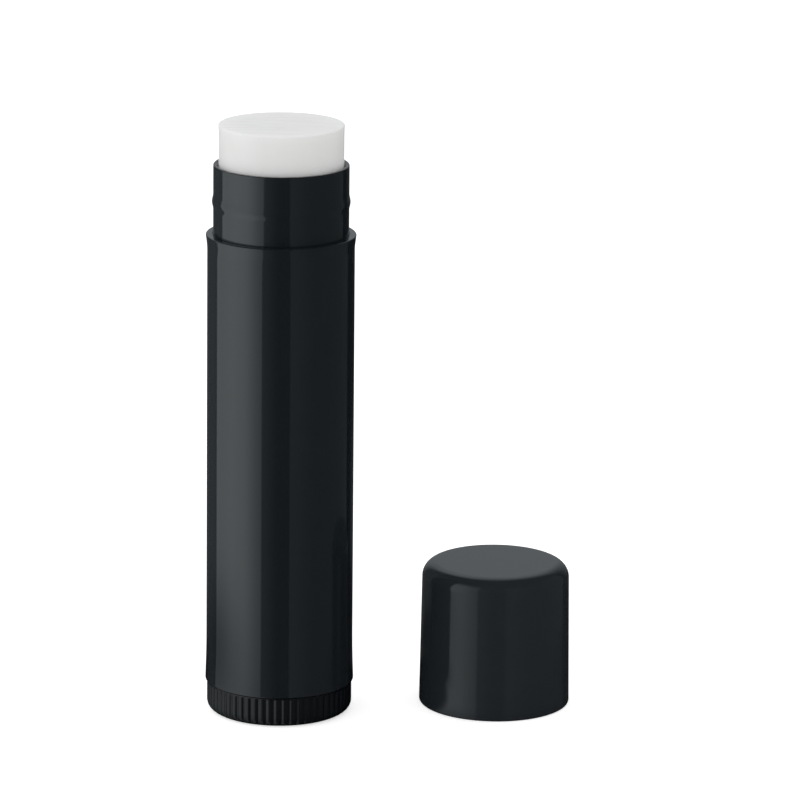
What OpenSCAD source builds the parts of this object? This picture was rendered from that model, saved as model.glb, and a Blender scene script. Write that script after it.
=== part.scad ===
// Twist-up stick of lip balm, standing up with its cap taken off and stood beside it.
// Lengths are in millimetres. +Z runs up the stick, +X points to the cap, and the origin
// is the middle of the face that the stick stands on. The balm is a little wound out.

/* [Balm] */
// Diameter of the balm
balm_d = 13.3; // [11:0.1:16]
// Height of the balm's top above the rim
balm_raised = 4.3; // [1:0.1:6]
// Depth of the balm's top below the rim when it is wound right down
balm_sink = 0.5; // [0.2:0.1:2]
// Rounding of the balm's top edge
balm_edge_r = 0.12; // [0.1:0.02:1]
// Gap all round between the balm and the bore
balm_gap = 0.06; // [0.02:0.01:0.1]

/* [Barrel] */
// Height from the barrel's foot to its shoulder
barrel_h = 49.18; // [42:0.01:70]
// Narrowing of the barrel from its foot cone to its shoulder, on the radius
barrel_draft = 0.05; // [0:0.01:0.2]
// Thickness of the floor that the wheel's hub runs in
barrel_floor = 1.2; // [0.8:0.1:2]
// Flare of the foot, on the radius
foot_flare = 0.105; // [0.02:0.005:0.3]
// Height of the flare at the foot
foot_flare_h = 3.6; // [1.5:0.1:6]
// Rounding of the foot's edge
foot_edge_r = 0.12; // [0.1:0.01:0.5]
// Flare of the shoulder, on the radius
shoulder_flare = 0.155; // [0.02:0.005:0.3]
// Height of the flare at the shoulder
shoulder_flare_h = 1.3; // [0.8:0.1:3]
// Rounding of the shoulder's edge
shoulder_edge_r = 0.12; // [0.08:0.01:0.3]
// Width of the flat ledge round the neck
ledge_w = 0.78; // [0.5:0.01:1.5]

/* [Neck] */
// Height of the neck above the shoulder
neck_h = 7.5; // [6:0.1:10]
// Wall of the neck
neck_wall = 0.51; // [0.32:0.01:0.8]
// Rounding of the rim's outer edge
rim_edge_r = 0.12; // [0.05:0.01:0.15]
// Chamfer inside the rim
rim_chamfer = 0.16; // [0.05:0.01:0.16]
// Width and depth of the fine groove at the foot of the neck
neck_groove = 0.1; // [0.05:0.01:0.15]
// Height of the bead's middle above the shoulder
bead_at = 3.5; // [2.5:0.1:4]
// Height of the bead that the cap snaps over
bead_h = 1.7; // [1:0.1:2]
// How far the bead stands out of the neck
bead_out = 0.13; // [0.05:0.01:0.2]
// Width and depth of the undercut just below the bead
bead_undercut = 0.06; // [0.02:0.01:0.1]

/* [Guide ribs] */
// Width of the ribs in the bore that stop the balm from turning
rib_w = 0.8; // [0.5:0.05:1.2]
// How far the ribs stand into the bore
rib_h = 0.5; // [0.3:0.05:0.6]
// Gap between a rib and what slides along it
rib_gap = 0.12; // [0.05:0.01:0.2]
// Depth of the tops of the ribs below the rim
rib_drop = 10; // [9:0.5:16]

/* [Wheel] */
// Height of the wheel
wheel_h = 3.26; // [3:0.01:6]
// How far the wheel stands in from the foot of the barrel
wheel_step = 0.18; // [0.05:0.01:0.5]
// Rounding of the wheel's lower edge
wheel_edge_r = 1; // [0.5:0.05:1.2]
// Thickness of the wheel's bottom
wheel_floor = 1.3; // [1:0.1:1.6]
// Wall of the wheel behind its grooves
wheel_wall = 1.3; // [1:0.1:2]
// Gap between the wheel and the barrel's foot
seam_gap = 0.08; // [0.05:0.01:0.3]
// Number of grip grooves round the wheel
groove_count = 58; // [36:1:72]
// Width of a grip groove
groove_w = 0.6; // [0.3:0.01:0.65]
// Depth of a grip groove
groove_depth = 0.15; // [0.1:0.01:0.2]
// Wall left above the round top of a groove
groove_top = 0.08; // [0.05:0.01:0.5]
// Width of the ring that the wheel stands on
stand_ring_w = 1.5; // [1:0.1:2]
// Depth of the ring-shaped hollow inside it
stand_hollow = 0.3; // [0.1:0.05:0.5]
// Diameter of the flat pad in the middle
stand_pad_d = 5; // [3:0.1:6]

/* [Hub] */
// Diameter of the hub that turns in the barrel's floor
hub_d = 7; // [6:0.1:8]
// Running gap between the hub and the barrel's floor
hub_gap = 0.05; // [0.02:0.01:0.1]
// How far the snap ring stands out over the floor's hole
snap_over = 0.25; // [0.1:0.05:0.4]
// Height of the snap ring's straight edge
snap_edge_h = 0.5; // [0.3:0.1:1]
// Height of the snap ring's cone
snap_cone_h = 0.8; // [0.5:0.1:1.5]
// Play between the snap ring and the barrel's floor
snap_play = 0.1; // [0.05:0.01:0.3]

/* [Feed screw] */
// Diameter of the screw's core
screw_core_d = 3.2; // [2.6:0.1:3.6]
// Height of the thread above the core
thread_h = 0.8; // [0.5:0.05:1]
// Rise of the balm for one turn of the wheel
thread_lead = 4; // [3.5:0.1:5]
// Width of the thread at its foot
thread_foot_w = 1.6; // [1:0.1:1.8]
// Width of the thread at its crest
thread_crest_w = 0.8; // [0.5:0.1:0.9]
// Gap between the thread and what runs on it
thread_gap = 0.15; // [0.1:0.01:0.3]
// Depth of the screw's tip below the rim
screw_drop = 10; // [9:0.5:16]
// Height of the plain tip above the thread
screw_tip_h = 1; // [0.5:0.1:2]
// Step in from the thread's foot to the plain tip
screw_tip_step = 0.2; // [0.1:0.05:0.5]
// Width across the corners of the six-sided root in the hub
screw_root_d = 3; // [2:0.1:4]
// Length of the six-sided root
screw_root_h = 3; // [1.5:0.1:4]
// Gap round the six-sided root
screw_root_gap = 0.02; // [0.01:0.01:0.05]
// Diameter of the collar that sits on the hub
screw_collar_d = 5; // [4:0.1:6]
// Height of that collar
screw_collar_h = 0.6; // [0.4:0.1:1]

/* [Elevator] */
// Depth of the elevator's skirt below its floor
skirt_h = 4; // [3.4:0.1:6]
// Thickness of the elevator's floor
elevator_floor = 1.2; // [0.8:0.1:2]
// Depth of the cup that holds the balm
cup_h = 4.8; // [3:0.1:8]
// Wall of the skirt and the cup
cup_wall = 0.7; // [0.5:0.05:1]
// Gap between the elevator and the bore
elevator_gap = 0.1; // [0.05:0.01:0.2]
// Wall of the nut
nut_wall = 1.2; // [0.8:0.1:1.6]
// Gap between the elevator and the screw's collar when it is wound right down
elevator_rest_gap = 0.3; // [0.2:0.05:1]
// Gap left where the balm was cast against the elevator
cast_gap = 0.02; // [0.01:0.01:0.05]

/* [Cap] */
// Height of the cap
cap_h = 15.7; // [13:0.1:20]
// Wall of the cap at its mouth
cap_wall = 0.86; // [0.6:0.02:1.5]
// Narrowing of the cap from its mouth to its top, on the radius
cap_draft = 0.2; // [0:0.01:0.3]
// Thickness of the cap's top
cap_top = 1.1; // [0.8:0.1:2]
// Rounding of the cap's top edge
cap_edge_r = 1.67; // [1:0.01:2]
// Rounding of the cap's mouth edge
cap_mouth_edge_r = 0.27; // [0.1:0.01:0.4]
// Gap between the cap and the neck
cap_gap = 0.08; // [0.05:0.01:0.15]
// Rounding inside the top of the hollow
cap_inner_r = 0.9; // [0.4:0.1:1.2]
// Chamfer inside the mouth
cap_mouth_chamfer = 0.2; // [0.1:0.01:0.3]
// Space between the stick and the cap beside it
cap_apart = 7.18; // [2:0.01:30]
// How far the cap stands behind the stick
cap_behind = 3.23; // [0:0.01:10]

/* [Hidden] */
$fn = 96;

black_gloss = [0.11, 0.12, 0.13];
black_inner = [0.2, 0.21, 0.22];
natural_plastic = [0.9, 0.9, 0.87];
balm_white = [0.86, 0.86, 0.85];

// Steps in a rounding and in one turn of a thread, and the angle between a thread's points
arc_steps = 8;
turn_steps = 16;
section_a = 30;
// Overrun of every cut past the face that it opens
cut = 0.5;
// How deep a rib or a root runs into what carries it
bite = 0.25;

// Radii, worked outwards from the balm
balm_r = balm_d / 2;
bore_r = balm_r + balm_gap;
neck_r = bore_r + neck_wall;
shoulder_r = neck_r + ledge_w;
waist_top_r = shoulder_r - shoulder_flare;
waist_low_r = waist_top_r + barrel_draft;
foot_r = waist_low_r + foot_flare;
wheel_r = foot_r - wheel_step;
cap_bore_r = neck_r + cap_gap;
cap_mouth_r = cap_bore_r + cap_wall;
cap_top_r = cap_mouth_r - cap_draft;

// Heights of the barrel
foot_z = wheel_h + seam_gap;
floor_z = foot_z + barrel_floor;
shoulder_z = foot_z + barrel_h;
rim_z = shoulder_z + neck_h;
bead_z = shoulder_z + bead_at;
rib_top_z = rim_z - rib_drop;

// Hub and snap ring
hub_r = hub_d / 2;
hub_hole_r = hub_r + hub_gap;
snap_r = hub_hole_r + snap_over;
snap_z = floor_z + snap_play;
hub_top_z = snap_z + snap_edge_h + snap_cone_h;

// Feed screw
core_r = screw_core_d / 2;
thread_r = core_r + thread_h;
screw_z = hub_top_z + screw_collar_h;
screw_tip_z = rim_z - screw_drop;
thread_top_z = screw_tip_z - screw_tip_h;

// Elevator, where it is with the balm wound out as shown
lowering = balm_raised + balm_sink;
elevator_z = screw_z + elevator_rest_gap + lowering;
elevator_r = bore_r - elevator_gap;
cup_r = elevator_r - cup_wall;
seat_z = elevator_z + skirt_h + elevator_floor;
cup_top_z = seat_z + cup_h;
nut_thread_r = thread_r + thread_gap;
nut_r = nut_thread_r + nut_wall;

// Balm
balm_top_z = rim_z + balm_raised;
balm_foot_r = cup_r - cast_gap;
balm_bore_top_z = screw_tip_z + lowering + elevator_rest_gap;

// Guide ribs, both on the side away from the viewer
rib_angles = [30, 150];
rib_slot_w = rib_w + 2 * rib_gap;
rib_slot_r = bore_r - rib_h - rib_gap;

// A groove is round, with its width and depth on the wheel's edge
groove_r = (pow(groove_w / 2, 2) + pow(groove_depth, 2)) / (2 * groove_depth);
groove_axis_r = wheel_r - groove_depth + groove_r;
groove_top_z = wheel_h - groove_top - groove_r;

// The bead is an arc of this radius, and the cap's groove follows it
bead_arc_r = (pow(bead_h / 2, 2) + pow(bead_out, 2)) / (2 * bead_out);
bead_half_a = asin(bead_h / 2 / bead_arc_r);

// Cap
cap_x = foot_r + cap_apart + cap_mouth_r;

// A point at radius r and angle a
function polar(r, a) = [r * cos(a), r * sin(a)];

// Points on an arc about [x, y] from angle a to angle b
function arc(x, y, r, a, b) =
    [for (i = [0:arc_steps]) [x, y] + polar(r, a + (b - a) * i / arc_steps)];

// The bead's arc on a wall of radius r, from below to above the height z
function bead(r, z) = arc(r + bead_out - bead_arc_r, z, bead_arc_r, -bead_half_a, bead_half_a);

// Outline of a one-start thread cut level: r0 and r1 are its foot and crest radii, and w0
// and w1 its widths there, measured along the axis
function thread_outline(r0, r1, w0, w1) =
    let (foot_a = 180 * w0 / thread_lead, crest_a = 180 * w1 / thread_lead,
         crest_steps = ceil(2 * crest_a / section_a), foot_steps = ceil((360 - 2 * foot_a) / section_a))
    concat(
        [for (i = [0:crest_steps]) polar(r1, crest_a * (2 * i / crest_steps - 1))],
        [polar((r0 + r1) / 2, (foot_a + crest_a) / 2)],
        [for (i = [0:foot_steps]) polar(r0, foot_a + (360 - 2 * foot_a) * i / foot_steps)],
        [polar((r0 + r1) / 2, -(foot_a + crest_a) / 2)]);

// Left-handed threaded rod from height z0 to z1, in step with the feed screw
module threaded_rod(z0, z1, r0, r1, w0, w1) {
    turns = (z1 - z0) / thread_lead;
    translate([0, 0, z0])
        rotate([0, 0, -360 * (z0 - screw_z) / thread_lead])
            linear_extrude(height = z1 - z0, twist = 360 * turns, slices = ceil(turns * turn_steps),
                $fn = turn_steps)
                polygon(thread_outline(r0, r1, w0, w1));
}

// A block on the bore's wall at each guide rib, from radius r outwards and from z0 to z1
module at_ribs(r, w, outer_r, z0, z1) {
    for (a = rib_angles)
        rotate([0, 0, a])
            translate([r, -w / 2, z0])
                cube([outer_r - r, w, z1 - z0]);
}

// Tube and neck in one piece, with the floor that the wheel's hub runs in
module barrel_tube() {
    outside = concat(
        [[hub_hole_r, foot_z]],
        arc(foot_r - foot_edge_r, foot_z + foot_edge_r, foot_edge_r, -90, 0),
        [[waist_low_r, foot_z + foot_flare_h], [waist_top_r, shoulder_z - shoulder_flare_h]],
        arc(shoulder_r - shoulder_edge_r, shoulder_z - shoulder_edge_r, shoulder_edge_r, 0, 90));
    ledge = [[neck_r + neck_groove, shoulder_z], [neck_r + neck_groove, shoulder_z - neck_groove],
             [neck_r, shoulder_z - neck_groove]];
    undercut = [[neck_r, bead_z - bead_h / 2 - bead_undercut],
                [neck_r - bead_undercut, bead_z - bead_h / 2 - bead_undercut / 2]];
    neck = concat(ledge, undercut, bead(neck_r, bead_z),
        arc(neck_r - rim_edge_r, rim_z - rim_edge_r, rim_edge_r, 0, 90),
        [[bore_r + rim_chamfer, rim_z], [bore_r, rim_z - rim_chamfer]]);
    inside = [[bore_r, floor_z], [hub_hole_r, floor_z]];
    color(black_gloss) {
        rotate_extrude()
            polygon(concat(outside, neck, inside));
        at_ribs(bore_r - rib_h, rib_w, bore_r + bite, floor_z - bite, rib_top_z);
    }
}

// Knurled wheel with the hub that snaps through the barrel's floor
module base_wheel() {
    pad_r = stand_pad_d / 2;
    stand_r = wheel_r - wheel_edge_r;
    ring_r = stand_r - stand_ring_w;
    rim = concat(
        [[0, 0], [pad_r, 0], [pad_r + stand_hollow, stand_hollow],
         [ring_r - stand_hollow, stand_hollow], [ring_r, 0]],
        arc(stand_r, wheel_edge_r, wheel_edge_r, -90, 0),
        [[wheel_r, wheel_h], [wheel_r - wheel_wall, wheel_h], [wheel_r - wheel_wall, wheel_floor]]);
    hub = [[hub_r, wheel_floor], [hub_r, snap_z], [snap_r, snap_z], [snap_r, snap_z + snap_edge_h],
           [screw_collar_d / 2, hub_top_z], [0, hub_top_z]];
    color(black_gloss)
        difference() {
            rotate_extrude()
                polygon(concat(rim, hub));
            for (i = [0:groove_count - 1])
                rotate([0, 0, 360 * i / groove_count])
                    translate([groove_axis_r, 0, -cut])
                        grip_groove();
            translate([0, 0, hub_top_z - screw_root_h - screw_root_gap])
                cylinder(r = screw_root_d / 2 + screw_root_gap, h = screw_root_h + cut, $fn = 6);
        }
}

// One grip groove, round at its top, which fades out in the wheel's lower rounding
module grip_groove() {
    groove_h = groove_top_z + cut;
    cylinder(r = groove_r, h = groove_h, $fn = 24);
    translate([0, 0, groove_h])
        sphere(r = groove_r, $fn = 24);
}

// Screw that the wheel turns, with a six-sided root in the hub
module feed_screw() {
    color(black_inner) {
        translate([0, 0, hub_top_z - screw_root_h])
            cylinder(r = screw_root_d / 2, h = screw_root_h + screw_collar_h / 2, $fn = 6);
        translate([0, 0, hub_top_z])
            cylinder(r = screw_collar_d / 2, h = screw_collar_h);
        threaded_rod(screw_z, thread_top_z, core_r, thread_r, thread_foot_w, thread_crest_w);
        translate([0, 0, thread_top_z])
            cylinder(r = core_r - screw_tip_step, h = screw_tip_h);
    }
}

// Platform that carries the balm: a cup above, a guiding skirt below and a nut in the middle
module elevator_cup() {
    walls = [[cup_r, elevator_z], [elevator_r, elevator_z], [elevator_r, cup_top_z],
             [cup_r, cup_top_z], [cup_r, seat_z], [0, seat_z], [0, elevator_z],
             [nut_r, elevator_z], [nut_r, elevator_z + skirt_h], [cup_r, elevator_z + skirt_h]];
    color(natural_plastic)
        difference() {
            rotate_extrude()
                polygon(walls);
            threaded_rod(elevator_z - cut, seat_z + cut, core_r + thread_gap, nut_thread_r,
                thread_foot_w + 2 * thread_gap, thread_crest_w + 2 * thread_gap);
            at_ribs(min(cup_r, rib_slot_r), rib_slot_w, bore_r + cut, elevator_z - cut, cup_top_z + cut);
        }
}

// Balm, cast in the barrel: stepped in the cup, hollow round the screw, grooved by the ribs
module balm_stick() {
    body = concat(
        [[nut_thread_r, seat_z], [balm_foot_r, seat_z], [balm_foot_r, cup_top_z + cast_gap],
         [balm_r, cup_top_z + cast_gap]],
        arc(balm_r - balm_edge_r, balm_top_z - balm_edge_r, balm_edge_r, 0, 90),
        [[0, balm_top_z], [0, balm_bore_top_z], [nut_thread_r, balm_bore_top_z]]);
    color(balm_white)
        difference() {
            rotate_extrude()
                polygon(body);
            at_ribs(rib_slot_r, rib_slot_w, bore_r + cut, seat_z - cut, rib_top_z + lowering + rib_gap);
        }
}

// Cap, stood on its mouth beside the stick, with a groove inside that snaps on the bead
module cap() {
    outside = concat(
        [[cap_bore_r + cap_mouth_chamfer, 0]],
        arc(cap_mouth_r - cap_mouth_edge_r, cap_mouth_edge_r, cap_mouth_edge_r, -90, 0),
        arc(cap_top_r - cap_edge_r, cap_h - cap_edge_r, cap_edge_r, 0, 90),
        [[0, cap_h], [0, cap_h - cap_top]]);
    hollow = arc(cap_bore_r - cap_inner_r, cap_h - cap_top - cap_inner_r, cap_inner_r, 90, 0);
    snap_groove = bead(cap_bore_r, bead_at);
    socket = concat(
        [for (i = [len(snap_groove) - 1:-1:0]) snap_groove[i]],
        [[cap_bore_r, cap_mouth_chamfer]]);
    color(black_gloss)
        translate([cap_x, cap_behind, 0])
            rotate_extrude()
                polygon(concat(outside, hollow, socket));
}

barrel_tube();
base_wheel();
feed_screw();
elevator_cup();
balm_stick();
cap();
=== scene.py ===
import math

import bpy
from mathutils import Matrix, Vector


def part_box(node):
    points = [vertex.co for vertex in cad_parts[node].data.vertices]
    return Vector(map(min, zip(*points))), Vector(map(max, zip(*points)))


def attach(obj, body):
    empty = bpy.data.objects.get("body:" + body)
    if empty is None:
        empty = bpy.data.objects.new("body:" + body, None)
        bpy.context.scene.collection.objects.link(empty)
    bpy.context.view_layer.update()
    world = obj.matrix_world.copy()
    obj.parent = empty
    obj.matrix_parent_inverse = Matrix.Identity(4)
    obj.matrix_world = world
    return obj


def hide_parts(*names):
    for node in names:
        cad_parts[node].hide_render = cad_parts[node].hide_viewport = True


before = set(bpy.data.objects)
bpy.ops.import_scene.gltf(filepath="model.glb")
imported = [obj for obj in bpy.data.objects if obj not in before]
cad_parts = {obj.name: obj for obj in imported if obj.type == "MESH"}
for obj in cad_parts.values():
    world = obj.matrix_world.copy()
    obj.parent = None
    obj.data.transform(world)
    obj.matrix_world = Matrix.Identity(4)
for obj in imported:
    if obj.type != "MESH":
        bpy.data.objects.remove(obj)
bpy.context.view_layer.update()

mm = 0.001
tiny = 0.01  # in mm: places this close count as the same


# Outlines, in mm from the axis and above the table

def nodeBox(node):
    # lowest and highest corner of a CAD node; its round faces are fine polygons, hence the rounding
    low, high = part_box(node)
    return [round(v / mm, 2) for v in low], [round(v / mm, 2) for v in high]


def sweep(centreR, centreZ, radius, fromDeg, toDeg, steps):
    turns = [math.radians(fromDeg + (toDeg - fromDeg) * i / steps) for i in range(steps + 1)]
    return [(centreR + radius * math.cos(t), centreZ + radius * math.sin(t)) for t in turns]


def easedCorner(before, corner, after, reach, steps=6):
    # swaps a shallow corner for a short curve that leaves both straights smoothly
    here = Vector(corner)
    start = here + (Vector(before) - here).normalized() * reach
    end = here + (Vector(after) - here).normalized() * reach
    points = []
    for i in range(steps + 1):
        t = i / steps
        points.append(tuple(start * (1 - t) ** 2 + here * 2 * t * (1 - t) + end * t ** 2))
    return points


def beadCurve(wallR, height, bead, steps=18):
    # one smooth wave out of a straight wall and back
    points = []
    for i in range(steps + 1):
        t = 2 * i / steps - 1
        out = bead["out"] * (0.5 + 0.5 * math.cos(math.pi * t))
        points.append((wallR + out, height + bead["height"] / 2 * t))
    return points


def heldEdges(outline, hold=0.05, longest=0.3):
    # an extra ring near both ends of each long straight keeps its corners crisp under smooth shading
    held = []
    for (r, z), (nextR, nextZ) in zip(outline, outline[1:] + outline[:1]):
        held.append((r, z))
        length = math.hypot(nextR - r, nextZ - z)
        if length < longest or (r == 0 and nextR == 0):
            continue
        share = hold / length
        for t, ownR in ((share, r), (1 - share, nextR)):
            if ownR > 0:
                held.append((r + (nextR - r) * t, z + (nextZ - z) * t))
    return held


# Turning an outline into a mesh

def evenAngles(count):
    return [360 * i / count for i in range(count)]


def bridgeRings(lower, upper):
    # each ring is a list of (angle, vertex); rings with other angles are zipped with triangles
    if len(lower) == 1 and len(upper) == 1:
        return []
    if len(lower) == 1:
        return [(lower[0][1], b[1], a[1]) for a, b in zip(upper, upper[1:])]
    if len(upper) == 1:
        return [(a[1], b[1], upper[0][1]) for a, b in zip(lower, lower[1:])]
    if [a for a, v in lower] == [a for a, v in upper]:
        return [(lower[k][1], lower[k + 1][1], upper[k + 1][1], upper[k][1]) for k in range(len(lower) - 1)]
    faces, i, j = [], 0, 0
    while i < len(lower) - 1 or j < len(upper) - 1:
        lowerNext = i < len(lower) - 1 and (j == len(upper) - 1 or lower[i + 1][0] <= upper[j + 1][0])
        if lowerNext:
            faces.append((lower[i][1], lower[i + 1][1], upper[j][1]))
            i += 1
        else:
            faces.append((lower[i][1], upper[j + 1][1], upper[j][1]))
            j += 1
    return faces


def turnedMesh(name, outline, anglesAt, radiusAt=None, heightAt=None, centre=(0, 0), whole=True):
    spots, rings = [], []
    for r, z in outline:
        ring = []
        for angle in anglesAt(r, z) if r > 0 else [0]:
            out = radiusAt(r, z, angle) if radiusAt else r
            x, y = out * math.cos(math.radians(angle)), out * math.sin(math.radians(angle))
            up = heightAt(x, y, z) if heightAt else z
            ring.append((angle, len(spots)))
            spots.append(((centre[0] + x) * mm, (centre[1] + y) * mm, up * mm))
        if whole and r > 0:
            ring.append((ring[0][0] + 360, ring[0][1]))
        rings.append(ring)
    faces = []
    for lower, upper in zip(rings, rings[1:] + rings[:1]):
        faces += bridgeRings(lower, upper)
    mesh = bpy.data.meshes.new(name)
    mesh.from_pydata(spots, [], faces)
    mesh.polygons.foreach_set("use_smooth", [True] * len(mesh.polygons))
    mesh.validate()
    return mesh


def showPiece(mesh, material, body, node):
    if not mesh.materials:
        mesh.materials.append(material)
    piece = bpy.data.objects.new(mesh.name, mesh)
    bpy.context.scene.collection.objects.link(piece)
    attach(piece, body)
    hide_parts(node)
    print("made", mesh.name, "with", sum(len(p.vertices) - 2 for p in mesh.polygons), "triangles")
    return piece


# Node helpers

def addNode(tree, kind, values=None, **settings):
    made = tree.nodes.new(kind)
    for key, value in settings.items():
        setattr(made, key, value)
    for key, value in (values or {}).items():
        if isinstance(value, bpy.types.NodeSocket):
            tree.links.new(value, made.inputs[key])
        else:
            made.inputs[key].default_value = value
    return made


def sums(tree, operation, first, second=0.0, third=0.0):
    values = {0: first, 1: second}
    if operation in ("MULTIPLY_ADD", "SMOOTH_MIN", "SMOOTH_MAX"):
        values[2] = third
    return addNode(tree, "ShaderNodeMath", values, operation=operation).outputs[0]


def ramp(tree, value, low, high, toLow, toHigh, kind="SMOOTHSTEP"):
    return addNode(tree, "ShaderNodeMapRange", {
        "Value": value, "From Min": low, "From Max": high, "To Min": toLow, "To Max": toHigh,
    }, interpolation_type=kind, clamp=True).outputs["Result"]


def levelCurve(tree, value, levels):
    # levels are (value, level), joined by straight lines
    low, high = levels[0][0], levels[-1][0]
    curve = addNode(tree, "ShaderNodeValToRGB", {0: ramp(tree, value, low, high, 0.0, 1.0, "LINEAR")})
    stops = curve.color_ramp.elements
    for i, (at, level) in enumerate(levels):
        spot = (at - low) / (high - low)
        stop = stops[0] if i == 0 else stops[-1] if i == len(levels) - 1 else stops.new(spot)
        stop.color = (level, level, level, 1)
    return curve.outputs["Color"]


def newGroup(name, treeKind, inputs, outputs):
    # inputs and outputs are (name, socket kind, value)
    tree = bpy.data.node_groups.new(name, treeKind)
    for direction, sockets in (("INPUT", inputs), ("OUTPUT", outputs)):
        for label, kind, value in sockets:
            socket = tree.interface.new_socket(name=label, in_out=direction, socket_type=kind)
            if value is not None:
                socket.default_value = value
    return tree, tree.nodes.new("NodeGroupInput"), tree.nodes.new("NodeGroupOutput")


def fillGroup(tree, group, values):
    made = tree.nodes.new("ShaderNodeGroup")
    made.node_tree = group
    for key, value in values.items():
        if isinstance(value, bpy.types.NodeSocket):
            tree.links.new(value, made.inputs[key])
        else:
            made.inputs[key].default_value = value
    return made


floatSocket = "NodeSocketFloat"


# Shared surface effects

def makeMouldSkin():
    # the faint orange peel and grain that a polished mould leaves
    tree, given, result = newGroup("mouldSkin", "ShaderNodeTree", [
        ("Peel Size", floatSocket, 1.2), ("Grain Size", floatSocket, 0.06),
        ("Grain Share", floatSocket, 0.3),
    ], [("Height", floatSocket, None)])
    where = addNode(tree, "ShaderNodeTexCoord").outputs["Object"]
    layers = []
    for label in ("Peel Size", "Grain Size"):
        perMetre = sums(tree, "DIVIDE", 1000.0, given.outputs[label])
        layers.append(addNode(tree, "ShaderNodeTexNoise", {
            "Vector": where, "Scale": perMetre, "Detail": 2.0, "Roughness": 0.5,
        }).outputs["Fac"])
    height = addNode(tree, "ShaderNodeMix", {
        "Factor": given.outputs["Grain Share"], "A": layers[0], "B": layers[1],
    }, data_type="FLOAT").outputs["Result"]
    tree.links.new(height, result.inputs["Height"])
    return tree


def makeHandling():
    # soft smudges and thin straight rubs, both as masks from 0 to 1
    smudgeFrom, smudgeTo, rubFrom, rubTo, rubTilt = 0.42, 0.72, 0.7, 0.8, (0.16, 0.1, 0.0)
    tree, given, result = newGroup("handling", "ShaderNodeTree", [
        ("Smudge Size", floatSocket, 6.0), ("Rub Length", floatSocket, 8.0),
        ("Rub Width", floatSocket, 0.05),
    ], [("Smudge", floatSocket, None), ("Rub", floatSocket, None)])
    where = addNode(tree, "ShaderNodeTexCoord").outputs["Object"]
    cloud = addNode(tree, "ShaderNodeTexNoise", {
        "Vector": where, "Scale": sums(tree, "DIVIDE", 1000.0, given.outputs["Smudge Size"]),
        "Detail": 3.0, "Roughness": 0.55, "Distortion": 0.6,
    }).outputs["Fac"]
    tree.links.new(ramp(tree, cloud, smudgeFrom, smudgeTo, 0.0, 1.0), result.inputs["Smudge"])
    across = sums(tree, "DIVIDE", 1000.0, given.outputs["Rub Width"])
    along = sums(tree, "DIVIDE", 1000.0, given.outputs["Rub Length"])
    stretch = addNode(tree, "ShaderNodeCombineXYZ", {"X": across, "Y": across, "Z": along}).outputs[0]
    tilted = addNode(tree, "ShaderNodeMapping", {
        "Vector": where, "Rotation": rubTilt, "Scale": stretch,
    }).outputs[0]
    lines = addNode(tree, "ShaderNodeTexNoise", {
        "Vector": tilted, "Scale": 1.0, "Detail": 1.0}).outputs["Fac"]
    tree.links.new(ramp(tree, lines, rubFrom, rubTo, 0.0, 1.0), result.inputs["Rub"])
    return tree


mouldSkin = makeMouldSkin()
handling = makeHandling()
print("shared surface groups ready")


# Materials

def newMaterial(name):
    material = bpy.data.materials.new(name)
    material.use_nodes = True
    tree = material.node_tree
    tree.nodes.clear()
    surface = tree.nodes.new("ShaderNodeBsdfPrincipled")
    out = tree.nodes.new("ShaderNodeOutputMaterial")
    tree.links.new(surface.outputs["BSDF"], out.inputs["Surface"])
    return material, tree, surface


def setPlain(surface, values):
    for key, value in values.items():
        surface.inputs[key].default_value = value


def mouldedPlastic(name, look):
    plasticIor = 1.5
    material, tree, surface = newMaterial(name)
    setPlain(surface, {"IOR": plasticIor, "Specular IOR Level": look["shine"]})
    marks = fillGroup(tree, handling, {"Smudge Size": look["smudgeSize"], "Rub Width": look["rubWidth"]})
    skin = fillGroup(tree, mouldSkin, {"Peel Size": look["peelSize"], "Grain Size": look["grainSize"]})
    worn = tuple(c * look["wornLift"] for c in look["colour"][:3]) + (1,)
    tint = addNode(tree, "ShaderNodeMix", {
        "Factor": marks.outputs["Smudge"], "A": look["colour"], "B": worn,
    }, data_type="RGBA").outputs["Result"]
    tree.links.new(tint, surface.inputs["Base Color"])
    dull = sums(tree, "MULTIPLY_ADD", marks.outputs["Smudge"], look["smudgeDulls"], look["roughness"])
    dull = sums(tree, "MULTIPLY_ADD", marks.outputs["Rub"], look["rubDulls"], dull)
    tree.links.new(dull, surface.inputs["Roughness"])
    bump = addNode(tree, "ShaderNodeBump", {
        "Height": skin.outputs["Height"], "Strength": 1.0, "Distance": look["skinDepth"] * mm,
    })
    tree.links.new(bump.outputs["Normal"], surface.inputs["Normal"])
    return material


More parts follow.
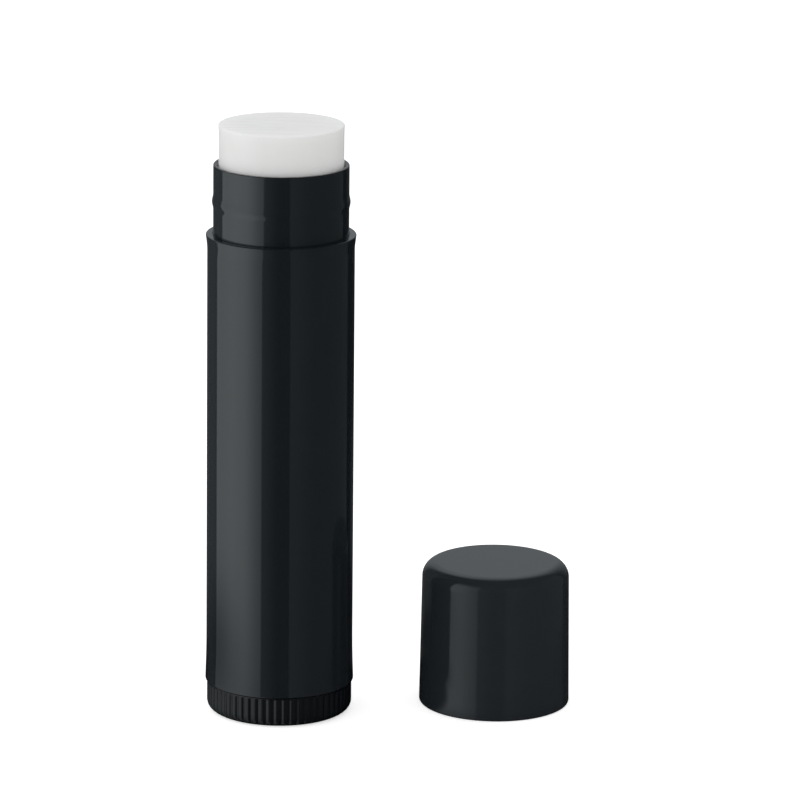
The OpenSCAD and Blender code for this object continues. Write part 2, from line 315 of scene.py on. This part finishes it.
def balmWax(name, look):
    waxIor, glowShares = 1.44, (1.0, 1.0, 0.96)
    material, tree, surface = newMaterial(name)
    setPlain(surface, {
        "IOR": waxIor, "Specular IOR Level": look["shine"], "Subsurface Weight": look["glow"],
        "Subsurface Radius": glowShares, "Subsurface Scale": look["glowDepth"] * mm,
    })
    where = addNode(tree, "ShaderNodeTexCoord").outputs["Object"]
    cloud = addNode(tree, "ShaderNodeTexNoise", {
        "Vector": where, "Scale": 1000 / look["cloudSize"], "Detail": 3.0, "Roughness": 0.6,
    }).outputs["Fac"]
    tint = addNode(tree, "ShaderNodeMix", {
        "Factor": ramp(tree, cloud, 0.35, 0.65, 0.0, 1.0), "A": look["colour"], "B": look["cloudColour"],
    }, data_type="RGBA").outputs["Result"]
    # faint drag marks lie across the top, and the side keeps upright ones from the tube it slid in
    across, along = 1000 / look["dragWidth"], 1000 / look["dragLength"]
    isTop = sums(tree, "GREATER_THAN", addNode(tree, "ShaderNodeSeparateXYZ", {
        0: addNode(tree, "ShaderNodeNewGeometry").outputs["Normal"]}).outputs["Z"], 0.8)
    drags = []
    for turn, scale in ((look["dragTurn"], (along, across, across)), (0, (across, across, along))):
        spot = addNode(tree, "ShaderNodeMapping", {
            "Vector": where, "Rotation": (0, 0, turn), "Scale": scale}).outputs[0]
        drags.append(addNode(tree, "ShaderNodeTexNoise", {
            "Vector": spot, "Scale": 1.0, "Detail": 2.0}).outputs["Fac"])
    height = addNode(tree, "ShaderNodeMix", {"Factor": isTop, "A": drags[1], "B": drags[0]},
                     data_type="FLOAT").outputs["Result"]
    # the streak tint on the top is partly drag marks and partly painted shade that darkens the whole top
    # against the sides
    scrapedAndShadedColour = tuple(c * look["dragAndTopShadeTint"] for c in look["colour"][:3]) + (1,)
    streaksAndTopShade = sums(tree, "MULTIPLY", ramp(tree, drags[0], *look["dragAndTopShadeSpread"], 0.0, 1.0), isTop)
    tint = addNode(tree, "ShaderNodeMix", {"Factor": streaksAndTopShade, "A": tint, "B": scrapedAndShadedColour}, data_type="RGBA")
    tree.links.new(tint.outputs["Result"], surface.inputs["Base Color"])
    tree.links.new(ramp(tree, height, 0.3, 0.7, look["roughness"] - 0.05, look["roughness"] + 0.08),
                   surface.inputs["Roughness"])
    bump = addNode(tree, "ShaderNodeBump", {
        "Height": height, "Strength": 1.0, "Distance": look["dragDepth"] * mm,
    })
    tree.links.new(bump.outputs["Normal"], surface.inputs["Normal"])
    return material


# The tube

bead = {"at": 3.5, "height": 1.7, "out": 0.13}  # stands on the neck, and the cap's groove follows it

barrel = {
    "sides": 256,
    "footRound": 0.12, "footFlare": 0.105, "footFlareHeight": 3.6,
    "shoulderFlare": 0.155, "shoulderFlareHeight": 1.3, "ledgeRound": 0.12, "ledgeWidth": 0.78,
    "neck": 7.22, "neckHeight": 7.5, "neckWall": 0.51, "neckGroove": 0.1,
    "rimRound": 0.12, "rimChamfer": 0.16, "floor": 1.2, "hole": 3.55,
    "ribAngles": (30, 150), "ribWidth": 0.8, "ribHeight": 0.5, "ribDrop": 10,
    "flankStep": 0.03,  # degrees
    "look": {
        "colour": (0.0090, 0.0114, 0.0140, 1), "wornLift": 1.06, "shine": 0.5, "roughness": 0.08,
        "smudgeSize": 9.0, "smudgeDulls": 0.025, "rubWidth": 0.08, "rubDulls": 0.02,
        "peelSize": 2.2, "grainSize": 0.07, "skinDepth": 0.0002,
    },
}


def columnsWith(extraAngles, count, apart=0.12):
    # even angles, less those closer than apart to one of the extra angles
    even = evenAngles(count)
    kept = [a for a in even if a == 0 or min(abs(a - e) for e in extraAngles) > apart]
    return sorted(kept + extraAngles)


def makeBarrel(size):
    low, high = nodeBox("barrel_tube")
    footR, footZ, rimZ = high[0], low[2], high[2]
    neck, bore, chamfer = size["neck"], size["neck"] - size["neckWall"], size["rimChamfer"]
    shoulderZ, ribTop, floorZ = rimZ - size["neckHeight"], rimZ - size["ribDrop"], footZ + size["floor"]
    ledgeR, beadZ, groove = neck + size["ledgeWidth"], shoulderZ + bead["at"], size["neckGroove"]
    footEdge = (footR, footZ + size["footRound"])
    flare = (footR - size["footFlare"], footZ + size["footFlareHeight"])
    waist = (ledgeR - size["shoulderFlare"], shoulderZ - size["shoulderFlareHeight"])
    ledgeEdge = (ledgeR, shoulderZ - size["ledgeRound"])
    outline = [(size["hole"], footZ)]
    outline += sweep(footR - size["footRound"], footEdge[1], size["footRound"], -90, 0, 7)
    outline += easedCorner(footEdge, flare, waist, 1.6, 8)
    outline += easedCorner(flare, waist, ledgeEdge, 0.5, 6)
    outline += sweep(ledgeR - size["ledgeRound"], ledgeEdge[1], size["ledgeRound"], 0, 90, 6)
    outline += [(neck + groove, shoulderZ), (neck + groove, shoulderZ - groove), (neck, shoulderZ - groove)]
    outline += beadCurve(neck, beadZ, bead)
    outline += sweep(neck - size["rimRound"], rimZ - size["rimRound"], size["rimRound"], 0, 90, 5)
    outline += [(bore + chamfer, rimZ), (bore, rimZ - chamfer), (bore, ribTop + tiny), (bore, ribTop)]
    outline += [(bore, floorZ), (size["hole"], floorZ)]
    face = bore - size["ribHeight"]
    flank = math.degrees(math.asin(size["ribWidth"] / 2 / face))
    even = evenAngles(size["sides"])
    flanks = [rib + side * (flank + gap)
              for rib in size["ribAngles"] for side in (-1, 1) for gap in (0, size["flankStep"])]
    ribbed = columnsWith(flanks, size["sides"])

    def onRibs(r, z):
        return abs(r - bore) < tiny and z <= ribTop

    def radiusAt(r, z, angle):
        off = min(abs(angle - rib) for rib in size["ribAngles"])
        return face / math.cos(math.radians(off)) if onRibs(r, z) and off < flank + tiny else r

    return turnedMesh("tube", heldEdges(outline), lambda r, z: ribbed if onRibs(r, z) else even,
                      radiusAt)


tubeGloss = mouldedPlastic("tubeGloss", barrel["look"])
showPiece(makeBarrel(barrel), tubeGloss, "barrel", "barrel_tube")


# The thumb wheel: one slice with its groove, repeated round the axis

wheel = {
    "ribs": 58, "columns": 16, "valley": 0.13, "fadeFoot": (0.03, 0.35), "fadeTop": (3.0, 3.2),
    "height": 3.26, "edgeRound": 1.0, "web": 1.3, "wall": 1.3, "hub": 3.5,
    "snap": 3.8, "snapHeight": 0.5, "coneHeight": 0.8, "collar": 2.5, "socket": 1.52, "socketDepth": 3.02,
    "pad": 2.5, "standRing": 1.5, "hollow": 0.3, "weldGap": 0.002,
    "look": {
        # the colour is darker than the tube's black as painted shade, for the dim light low by the floor
        "colour": (0.0032, 0.0045, 0.0062, 1), "wornLift": 1.08, "shine": 0.36, "roughness": 0.29,
        "smudgeSize": 5.0, "smudgeDulls": 0.04, "rubWidth": 0.06, "rubDulls": 0.02,
        "peelSize": 1.5, "grainSize": 0.06, "skinDepth": 0.0002,
    },
}


def easeIn(value, start, end):
    t = min(1, max(0, (value - start) / (end - start)))
    return t * t * (3 - 2 * t)


def makeSlice(size):
    low, high = nodeBox("base_wheel")
    rim, hubEnd, top, web = high[0], high[2], size["height"], size["web"]
    half = 180 / size["ribs"]
    fine = [half * (2 * i / size["columns"] - 1) for i in range(size["columns"] + 1)]
    coarse = [-half, 0, half]
    standR, skirt = rim - size["edgeRound"], rim - size["wall"]
    ringR, hollow, pad = standR - size["standRing"], size["hollow"], size["pad"]
    hub, snap = size["hub"], size["snap"]
    snapZ = hubEnd - size["coneHeight"] - size["snapHeight"]
    outline = [(0, 0), (pad, 0), (pad + hollow, hollow), (ringR - hollow, hollow), (ringR, 0)]
    outline += sweep(standR, size["edgeRound"], size["edgeRound"], -90, 0, 18)
    fromZ, toZ = size["fadeTop"]
    outline += [(rim, fromZ + (toZ - fromZ) * i / 8) for i in range(9)]
    outline += [(rim, top), (skirt, top), (skirt, web), (hub, web), (hub, snapZ), (snap, snapZ)]
    outline += [(snap, snapZ + size["snapHeight"]), (size["collar"], hubEnd), (size["socket"], hubEnd)]
    outline += [(size["socket"], hubEnd - size["socketDepth"]), (0, hubEnd - size["socketDepth"])]

    def radiusAt(r, z, angle):
        if r < standR + tiny or z > top - tiny:
            return r
        fade = easeIn(z, *size["fadeFoot"]) * (1 - easeIn(z, *size["fadeTop"]))
        # squared, the wave has flat tops and narrow valleys
        return r - size["valley"] * fade * (0.5 + 0.5 * math.cos(math.pi * angle / half)) ** 2

    return turnedMesh("wheelSlice", heldEdges(outline),
                      lambda r, z: fine if r > standR + tiny else coarse, radiusAt, whole=False)


def makeRoundPattern():
    tree, given, result = newGroup("slicesRoundAxis", "GeometryNodeTree", [
        ("Slice", "NodeSocketGeometry", None), ("Slice Count", "NodeSocketInt", 58),
        ("Weld Gap", floatSocket, 0.0), ("Finish", "NodeSocketMaterial", None),
    ], [("Wheel", "NodeSocketGeometry", None)])
    points = addNode(tree, "GeometryNodePoints", {"Count": given.outputs["Slice Count"]})
    step = sums(tree, "DIVIDE", 2 * math.pi, given.outputs["Slice Count"])
    turn = sums(tree, "MULTIPLY", addNode(tree, "GeometryNodeInputIndex").outputs[0], step)
    about = addNode(tree, "ShaderNodeCombineXYZ", {"Z": turn})
    rotation = addNode(tree, "FunctionNodeEulerToRotation", {0: about.outputs[0]})
    copies = addNode(tree, "GeometryNodeInstanceOnPoints", {
        "Points": points.outputs[0], "Instance": given.outputs["Slice"], "Rotation": rotation.outputs[0]})
    real = addNode(tree, "GeometryNodeRealizeInstances", {0: copies.outputs[0]})
    welded = addNode(tree, "GeometryNodeMergeByDistance", {
        "Geometry": real.outputs[0], "Distance": given.outputs["Weld Gap"]})
    smooth = addNode(tree, "GeometryNodeSetShadeSmooth", {"Geometry": welded.outputs[0]})
    painted = addNode(tree, "GeometryNodeSetMaterial", {
        "Geometry": smooth.outputs[0], "Material": given.outputs["Finish"]})
    tree.links.new(painted.outputs[0], result.inputs["Wheel"])
    return tree


def makeWheel(size, finish):
    pattern = makeRoundPattern()
    carrier = bpy.data.objects.new("wheelSlice", makeSlice(size))
    bpy.context.scene.collection.objects.link(carrier)
    slices = carrier.modifiers.new("slicesRoundAxis", "NODES")
    slices.node_group = pattern
    sockets = [item for item in pattern.interface.items_tree if item.in_out == "INPUT"]
    names = {item.name: item.identifier for item in sockets}
    slices[names["Slice Count"]] = size["ribs"]
    slices[names["Weld Gap"]] = size["weldGap"] * mm
    slices[names["Finish"]] = finish
    shown = carrier.evaluated_get(bpy.context.evaluated_depsgraph_get())
    mesh = bpy.data.meshes.new_from_object(shown)
    mesh.name = "thumbWheel"
    carrier.modifiers.remove(slices)
    bpy.data.objects.remove(carrier)
    sector = 60
    for spot in mesh.vertices:  # the round socket in the hub is squeezed to six sides
        r = math.hypot(spot.co.x, spot.co.y) / mm
        if abs(r - size["socket"]) < tiny:
            turn = math.degrees(math.atan2(spot.co.y, spot.co.x)) % sector
            flat = math.cos(math.radians(sector / 2)) / math.cos(math.radians(turn - sector / 2))
            spot.co.x *= flat
            spot.co.y *= flat
    return mesh


wheelGloss = mouldedPlastic("wheelGloss", wheel["look"])
showPiece(makeWheel(wheel, wheelGloss), wheelGloss, "wheel", "base_wheel")


# The balm

balm = {
    "sides": 256, "bore": 2.55, "boreRoof": 9.2, "castIn": 0.76, "castDepth": 4.82,
    "edgeRound": 0.12, "lip": 0.05, "lipHeight": 0.9, "lipSteps": 6, "topRings": 36, "topFade": 0.6,
    "slotAngles": (30, 150), "slotDepth": 0.56, "slotWidth": 1.04, "slotDrop": 9.38,
    "wallGaps": (-0.4, -0.06, 0, 0.03, 0.3),  # degrees from a slot's wall to the columns beside it
    "dimple": (0.05, -2.1, 0.42, 0.09),  # x, y, radius, depth
    "scrapes": [  # x, y, half length, half width, depth, lean
        (-1.6, -1.2, 2.6, 0.16, 0.018, 0.0), (1.9, -0.2, 2.2, 0.14, 0.014, 0.054),
        (-0.6, 1.3, 3.0, 0.2, 0.014, -0.08), (0.4, -3.3, 2.4, 0.15, 0.014, 0.063),
        (-3.2, 0.9, 1.6, 0.13, 0.012, -0.014), (2.6, 2.2, 1.8, 0.16, 0.014, -0.043),
        (-0.2, 3.6, 2.2, 0.2, 0.012, 0.077), (0.9, -4.6, 1.5, 0.14, 0.01, -0.071),
        (-2.6, -3.1, 1.4, 0.13, 0.012, 0.027),
    ],
    "look": {
        "colour": (0.83, 0.83, 0.822, 1), "cloudColour": (0.815, 0.815, 0.808, 1), "cloudSize": 4.0,
        "shine": 0.35, "roughness": 0.45, "glow": 0.6, "glowDepth": 2.5,
        # the tint darkens the top's streaks, partly as drag marks and partly as painted shade on the top
        "dragWidth": 0.3, "dragLength": 4.0, "dragDepth": 0.02, "dragAndTopShadeTint": 0.945,
        "dragTurn": 0.1, "dragAndTopShadeSpread": (0.34, 0.6),
    },
}


def makeBalm(size):
    low, high = nodeBox("balm_stick")
    radius, seat, top = high[0], low[2], high[2]
    bore, roof, cast = size["bore"], top - size["boreRoof"], radius - size["castIn"]
    edge, rings, steps = size["edgeRound"], size["topRings"], size["lipSteps"]
    ledge, slotTop = seat + size["castDepth"], top - size["slotDrop"]
    slotFloor = radius - size["slotDepth"]
    lipR = radius + size["lip"]
    flatR = lipR - edge
    outline = [(bore, seat), (cast, seat), (cast, ledge), (radius, ledge)]
    outline += [(radius, slotTop), (radius, slotTop + tiny)]
    for i in range(steps):  # the top edge swells a little
        share = i / steps
        outline.append((radius + size["lip"] * share ** 2, top - edge - size["lipHeight"] * (1 - share)))
    outline += sweep(flatR, top - edge, edge, 0, 90, 8)
    outline += [(flatR * (1 - i / rings), top) for i in range(1, rings)]
    outline += [(0, top), (0, roof), (bore, roof)]
    wall = math.degrees(math.asin(size["slotWidth"] / 2 / radius))
    even = evenAngles(size["sides"])
    walls = [slot + side * (wall + gap)
             for slot in size["slotAngles"] for side in (-1, 1) for gap in size["wallGaps"]]
    slotted = columnsWith(walls, size["sides"])

    def inSlots(r, z):
        return r == radius and ledge - tiny <= z <= slotTop

    def radiusAt(r, z, angle):
        off = min(abs(angle - slot) for slot in size["slotAngles"])
        return slotFloor / math.cos(math.radians(off)) if inSlots(r, z) and off < wall + tiny else r

    def heightAt(x, y, z):
        if z < top - tiny / 10:
            return z
        fade = min(1, max(0, (flatR - math.hypot(x, y)) / size["topFade"]))
        dimpleX, dimpleY, dimpleR, dimpleDepth = size["dimple"]
        drop = dimpleDepth * math.exp(-((x - dimpleX) ** 2 + (y - dimpleY) ** 2) / dimpleR ** 2)
        for sx, sy, halfLong, halfWide, depth, lean in size["scrapes"]:
            across = (y - sy) - lean * (x - sx)
            drop += depth * math.exp(-((x - sx) / halfLong) ** 4 - (across / halfWide) ** 2)
        return z - drop * fade

    return turnedMesh("balm", heldEdges(outline), lambda r, z: slotted if inSlots(r, z) else even,
                      radiusAt, heightAt)


waxMaterial = balmWax("castWax", balm["look"])
showPiece(makeBalm(balm), waxMaterial, "carrier", "balm_stick")


# The cap, stood on its mouth beside the tube

cap = {
    "sides": 256, "wall": 0.86, "draft": 0.2, "mouthRound": 0.27, "crownRound": 1.67,
    "top": 1.1, "insideRound": 0.9, "chamfer": 0.2,
    "look": {
        # the colour is lighter than the tube's black as painted light, for the brighter light on the cap
        "colour": (0.0167, 0.0203, 0.0233, 1), "wornLift": 1.06, "shine": 0.25, "roughness": 0.10,
        "smudgeSize": 7.0, "smudgeDulls": 0.03, "rubWidth": 0.08, "rubDulls": 0.02,
        "peelSize": 2.2, "grainSize": 0.07, "skinDepth": 0.0002,
    },
}


def makeCap(size):
    low, high = nodeBox("cap")
    place, height = ((low[0] + high[0]) / 2, (low[1] + high[1]) / 2), high[2]
    mouthR, mouth, crown = (high[0] - low[0]) / 2, size["mouthRound"], size["crownRound"]
    bore, roof, inside = mouthR - size["wall"], height - size["top"], size["insideRound"]
    lean = math.degrees(math.atan2(size["draft"], height - mouth - crown))
    outline = [(bore + size["chamfer"], 0)]
    outline += sweep(mouthR - mouth, mouth, mouth, -90, lean, 8)
    outline += sweep(mouthR - size["draft"] - crown, height - crown, crown, lean, 90, 28)
    outline += [(0, height), (0, roof)]
    outline += sweep(bore - inside, roof - inside, inside, 90, 0, 12)
    outline += beadCurve(bore, bead["at"], bead)[::-1]
    outline += [(bore, size["chamfer"])]
    even = evenAngles(size["sides"])
    return turnedMesh("coverCap", heldEdges(outline), lambda r, z: even, centre=place)


capGloss = mouldedPlastic("capGloss", cap["look"])
showPiece(makeCap(cap), capGloss, "cap", "cap")


# The two inner pieces keep their CAD shape

inner = {
    "feed_screw": {
        "colour": (0.020, 0.021, 0.023, 1), "wornLift": 1.2, "shine": 0.5, "roughness": 0.38,
        "smudgeSize": 3.0, "smudgeDulls": 0.1, "rubWidth": 0.05, "rubDulls": 0.08,
        "peelSize": 0.6, "grainSize": 0.05, "skinDepth": 0.002,
    },
    "elevator_cup": {
        "colour": (0.76, 0.76, 0.72, 1), "wornLift": 0.97, "shine": 0.45, "roughness": 0.42,
        "smudgeSize": 3.0, "smudgeDulls": 0.08, "rubWidth": 0.05, "rubDulls": 0.05,
        "peelSize": 0.8, "grainSize": 0.05, "skinDepth": 0.002,
    },
}

for node, name in (("feed_screw", "screwBlack"), ("elevator_cup", "elevatorWhite")):
    finish = mouldedPlastic(name, inner[node])
    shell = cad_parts[node]
    shell.data.materials.clear()
    shell.data.materials.append(finish)
print("inner pieces painted")


# The studio

studio = {
    "shellRadius": 3.0, "shellRings": 64, "shellSides": 128, "floorHalf": 2.5, "floorDrop": 0.00001,  # m
    "boxTint": (0.93, 1.0, 1.015, 1), "backTint": (0.92, 1.0, 1.06, 1),
    "skyLevel": 0.94, "skyLeftLift": 0.26, "skyTopDrop": 0.02,
    "floorColour": (0.8, 0.8, 0.8, 1), "floorGlow": 0.6,
    # bearing is 0 towards the camera and negative to its left: edges, ramp ends, levels at the ramp ends
    "boxes": [
        (-165, -117, -155, -120, 0.07, 0.16),
        (-117, -67.5, -120, -73, 0.85, 1.58),
        (-67.5, -28, -62, -24, 1.58, 0.70),
        (-28, 14, -28, 0, 0.19, 0.02),
        (16, 130, 16, 60, 0.165, 0.085),
    ],
    "boxFade": (27, 54), "backLeft": (140, 165), "backRight": (138, 172),
    "backLevels": [  # rise in degrees, level
        (-10, 0.08), (0, 0.27), (8, 0.34), (15, 0.44), (25, 0.55), (33, 0.8), (40, 1.0), (60, 1.0),
        (66, 0.55), (72, 0.17), (90, 0.05),
    ],
    # painted shadows: soft dark patches that the gloss sees in the floor, round and between the tube and
    # the cap
    "paintedShadowPatches": [  # x, y and reach in mm, level in the middle, crispness
        (0, 0, 8.8, 0.0, 4), (23.34, 3.23, 9.5, 0.0, 4), (8.5, 6, 11.2, 0.0, 20), (-6, 18, 12, 0.1, 4),
        (36, 26, 26, 0.1, 4), (100, 160, 75, 0.3, 4), (-28, 8, 30, 0.36, 2),
    ],
}


def makeSoftBox():
    tree, given, result = newGroup("softBox", "ShaderNodeTree", [
        (label, floatSocket, 0.0) for label in
        ("Bearing", "Left Edge", "Right Edge", "Ramp From", "Ramp To", "Left Level", "Right Level")
    ], [("Light", floatSocket, None)])
    bearing = given.outputs["Bearing"]
    pastLeft = sums(tree, "GREATER_THAN", bearing, given.outputs["Left Edge"])
    beforeRight = sums(tree, "LESS_THAN", bearing, given.outputs["Right Edge"])
    level = ramp(tree, bearing, given.outputs["Ramp From"], given.outputs["Ramp To"],
                 given.outputs["Left Level"], given.outputs["Right Level"])
    inside = sums(tree, "MULTIPLY", pastLeft, beforeRight)
    tree.links.new(sums(tree, "MULTIPLY", inside, level), result.inputs["Light"])
    return tree


def makeShellMaterial(size):
    # soft boxes and black flags round the set, seen only in reflections
    material = bpy.data.materials.new("studioShell")
    material.use_nodes = True
    material.cycles.emission_sampling = "NONE"
    tree = material.node_tree
    tree.nodes.clear()
    where = addNode(tree, "ShaderNodeTexCoord").outputs["Object"]
    parts = addNode(tree, "ShaderNodeSeparateXYZ", {0: where}).outputs
    toFront = sums(tree, "MULTIPLY", parts["Y"], -1.0)
    bearing = sums(tree, "DEGREES", sums(tree, "ARCTAN2", parts["X"], toFront))
    height = sums(tree, "DIVIDE", parts["Z"], size["shellRadius"])
    rise = sums(tree, "DEGREES", sums(tree, "ARCSINE", height))
    box = makeSoftBox()
    front = 0.0
    for left, right, rampFrom, rampTo, leftLevel, rightLevel in size["boxes"]:
        lit = fillGroup(tree, box, {
            "Bearing": bearing, "Left Edge": left, "Right Edge": right, "Ramp From": rampFrom,
            "Ramp To": rampTo, "Left Level": leftLevel, "Right Level": rightLevel,
        }).outputs["Light"]
        front = sums(tree, "ADD", lit, front)
    front = sums(tree, "MULTIPLY", front, ramp(tree, rise, *size["boxFade"], 1.0, 0.0))
    toLeft = ramp(tree, sums(tree, "MULTIPLY", bearing, -1.0), *size["backLeft"], 0.0, 1.0)
    toRight = ramp(tree, bearing, *size["backRight"], 0.0, 1.0, "LINEAR")
    toBack = sums(tree, "MAXIMUM", toLeft, toRight)
    back = sums(tree, "MULTIPLY", levelCurve(tree, rise, size["backLevels"]), toBack)
    tint = addNode(tree, "ShaderNodeMix", {
        "Factor": sums(tree, "GREATER_THAN", back, front), "A": size["boxTint"], "B": size["backTint"],
    }, data_type="RGBA").outputs["Result"]
    light = addNode(tree, "ShaderNodeEmission", {
        "Color": tint, "Strength": sums(tree, "MAXIMUM", front, back)})
    out = tree.nodes.new("ShaderNodeOutputMaterial")
    tree.links.new(light.outputs[0], out.inputs["Surface"])
    return material


def makeShell(size):
    radius, rings = size["shellRadius"] / mm, size["shellRings"]
    turns = [math.pi * i / rings for i in range(1, rings)]
    outline = [(0, -radius)] + [(radius * math.sin(t), -radius * math.cos(t)) for t in turns]
    outline += [(0, radius)]
    mesh = turnedMesh("studioShell", outline, lambda r, z: evenAngles(size["shellSides"]))
    shell = bpy.data.objects.new("studioShell", mesh)
    bpy.context.scene.collection.objects.link(shell)
    shell.data.materials.append(makeShellMaterial(size))
    shell.visible_camera = False
    shell.visible_diffuse = False
    shell.visible_transmission = False
    shell.visible_volume_scatter = False
    shell.visible_shadow = False


def makePaintedShadowPatch():
    # one painted shadow on the floor, seen only in reflections: a soft dark spot
    tree, given, result = newGroup("paintedShadowPatch", "ShaderNodeTree", [
        ("Centre", "NodeSocketVector", None), ("Reach", floatSocket, 0.01), ("Level", floatSocket, 0.5),
        ("Crispness", floatSocket, 2.0),
    ], [("Share", floatSocket, None)])
    where = addNode(tree, "ShaderNodeTexCoord").outputs["Object"]
    away = addNode(tree, "ShaderNodeVectorMath", {0: where, 1: given.outputs["Centre"]},
                   operation="DISTANCE")
    share = sums(tree, "DIVIDE", away.outputs["Value"], given.outputs["Reach"])
    steep = sums(tree, "POWER", share, given.outputs["Crispness"])
    bell = sums(tree, "EXPONENT", sums(tree, "MULTIPLY", steep, -1.0))
    depth = sums(tree, "SUBTRACT", 1.0, given.outputs["Level"])
    tree.links.new(sums(tree, "SUBTRACT", 1.0, sums(tree, "MULTIPLY", depth, bell)), result.inputs["Share"])
    return tree


def makeFloor(size):
    # matt white to the camera, while the gloss looks through it at the boxes, dimmed by painted shadows of
    # the tube and the cap
    material = bpy.data.materials.new("paleFloor")
    material.use_nodes = True
    tree = material.node_tree
    tree.nodes.clear()
    path = addNode(tree, "ShaderNodeLightPath").outputs
    seen = sums(tree, "MAXIMUM", path["Is Camera Ray"], path["Is Transmission Ray"])
    matt = addNode(tree, "ShaderNodeBsdfDiffuse", {"Color": size["floorColour"]})
    glow = addNode(tree, "ShaderNodeEmission", {
        "Strength": sums(tree, "MULTIPLY", seen, size["floorGlow"])})
    both = addNode(tree, "ShaderNodeAddShader", {0: matt.outputs[0], 1: glow.outputs[0]})
    paintedShadowPatch, level = makePaintedShadowPatch(), 1.0
    for x, y, reach, middle, crispness in size["paintedShadowPatches"]:
        patch = fillGroup(tree, paintedShadowPatch, {
            "Centre": (x * mm, y * mm, 0), "Reach": reach * mm, "Level": middle, "Crispness": crispness})
        level = sums(tree, "MULTIPLY", patch.outputs["Share"], level)
    # glossy rays pass through the floor, dimmed by the painted shadows
    shadedSeeThrough = addNode(tree, "ShaderNodeBsdfTransparent", {"Color": level})
    mixed = addNode(tree, "ShaderNodeMixShader", {
        0: path["Is Glossy Ray"], 1: both.outputs[0], 2: shadedSeeThrough.outputs[0]})
    out = tree.nodes.new("ShaderNodeOutputMaterial")
    tree.links.new(mixed.outputs[0], out.inputs["Surface"])
    corners = [(-1, -1), (1, -1), (1, 1), (-1, 1)]
    half, drop = size["floorHalf"], size["floorDrop"]
    mesh = bpy.data.meshes.new("floor")
    mesh.from_pydata([(x * half, y * half, -drop) for x, y in corners], [], [(0, 1, 2, 3)])
    mesh.materials.append(material)
    floor = bpy.data.objects.new("floor", mesh)
    bpy.context.scene.collection.objects.link(floor)


def makeWorld(size):
    world = bpy.data.worlds.new("softStudio")
    bpy.context.scene.world = world
    world.use_nodes = True
    tree = world.node_tree
    tree.nodes.clear()
    path = addNode(tree, "ShaderNodeLightPath").outputs
    seen = sums(tree, "ADD", path["Is Camera Ray"], path["Is Glossy Ray"])
    seen = sums(tree, "MINIMUM", sums(tree, "ADD", seen, path["Is Transmission Ray"]), 1.0)
    where = addNode(tree, "ShaderNodeTexCoord").outputs["Generated"]
    parts = addNode(tree, "ShaderNodeSeparateXYZ", {0: where}).outputs
    level = sums(tree, "MULTIPLY_ADD", parts["X"], -size["skyLeftLift"], size["skyLevel"])
    level = sums(tree, "MULTIPLY_ADD", sums(tree, "MAXIMUM", parts["Z"], 0.0), -size["skyTopDrop"], level)
    strength = addNode(tree, "ShaderNodeMix", {"Factor": seen, "A": level, "B": 1.0}, data_type="FLOAT")
    sky = addNode(tree, "ShaderNodeBackground", {
        "Color": (1, 1, 1, 1), "Strength": strength.outputs["Result"]})
    out = tree.nodes.new("ShaderNodeOutputWorld")
    tree.links.new(sky.outputs[0], out.inputs["Surface"])


makeShell(studio)
makeFloor(studio)
makeWorld(studio)
print("studio ready")


# The camera

view = {
    "place": (12.78, -542.43, 172.28), "down": 14.261, "roll": 0.582,
    "lens": 235.6, "sensor": 36, "clip": (0.02, 20),
}

lens = bpy.data.cameras.new("photoView")
lens.sensor_width = view["sensor"]
lens.lens = view["lens"]
lens.clip_start, lens.clip_end = view["clip"]
camera = bpy.data.objects.new("photoView", lens)
bpy.context.scene.collection.objects.link(camera)
camera.matrix_world = (Matrix.Translation(Vector(view["place"]) * mm)
                       @ Matrix.Rotation(math.radians(90 - view["down"]), 4, "X")
                       @ Matrix.Rotation(math.radians(view["roll"]), 4, "Z"))
bpy.context.scene.camera = camera
bpy.context.scene.view_settings.view_transform = "Standard"
